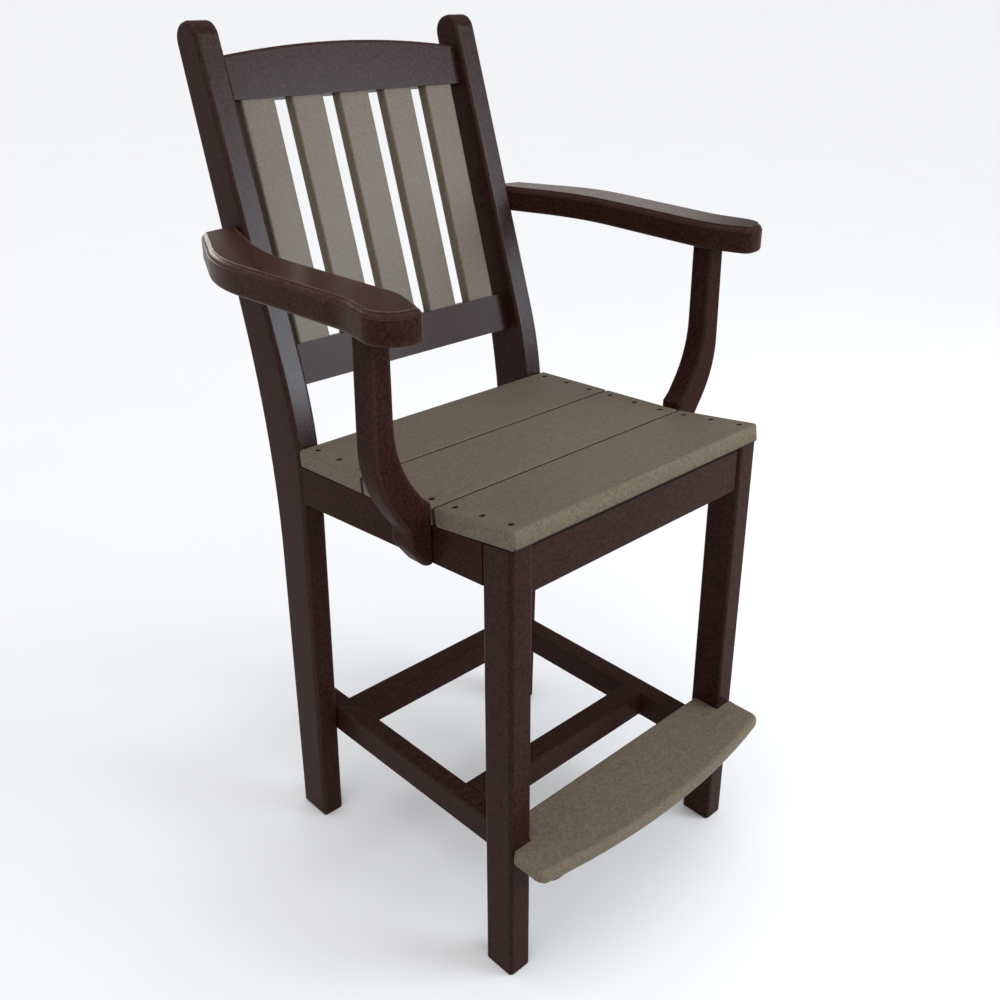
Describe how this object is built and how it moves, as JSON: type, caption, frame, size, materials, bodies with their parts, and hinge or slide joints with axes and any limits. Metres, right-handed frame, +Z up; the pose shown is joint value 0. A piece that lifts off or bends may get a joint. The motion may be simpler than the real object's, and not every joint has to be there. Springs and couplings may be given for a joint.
{
  "type": "pub chair",
  "caption": "Counter-height pub chair with arms, a slatted leaning back, a boarded seat and a footrest.",
  "frame": {"origin": "on the floor, in the middle of the bottom of the chair's bounding box", "axes": "+Z up, -Y towards the front of the chair, +X towards the sitter's left hand"},
  "size_m": [0.6868, 0.7174, 1.195],
  "materials": {
    "brown_lumber": "solid-coloured plastic lumber, finely grained, satin",
    "tan_lumber": "solid-coloured plastic lumber, speckled and finely grained, satin",
    "stainless_steel": "stainless screws and bolts, dulled"
  },
  "bodies": {
    "root": {"right_rear_post": "brown_lumber", "left_rear_post": "brown_lumber", "right_front_leg": "brown_lumber", "left_front_leg": "brown_lumber", "front_apron": "brown_lumber", "rear_apron": "brown_lumber", "right_side_apron": "brown_lumber", "left_side_apron": "brown_lumber", "right_side_stretcher": "brown_lumber", "left_side_stretcher": "brown_lumber", "middle_stretcher": "brown_lumber", "rear_stretcher": "brown_lumber", "footrest_board": "tan_lumber", "seat_board_front": "tan_lumber", "seat_board_middle": "tan_lumber", "seat_board_rear": "tan_lumber", "lower_back_rail": "brown_lumber", "crest_rail": "brown_lumber", "back_slat_1": "tan_lumber", "back_slat_2": "tan_lumber", "back_slat_3": "tan_lumber", "back_slat_4": "tan_lumber", "back_slat_5": "tan_lumber", "right_arm_support": "brown_lumber", "left_arm_support": "brown_lumber", "right_armrest": "brown_lumber", "left_armrest": "brown_lumber", "seat_screws": "stainless_steel", "apron_screws": "stainless_steel", "rail_screws": "stainless_steel", "stretcher_lap_screws": "stainless_steel", "stretcher_end_screws": "stainless_steel", "footrest_screws": "stainless_steel", "arm_screws": "stainless_steel", "arm_dowel_screws": "stainless_steel", "support_bolts": "stainless_steel", "support_washers": "stainless_steel"}
  },
  "joints": []
}
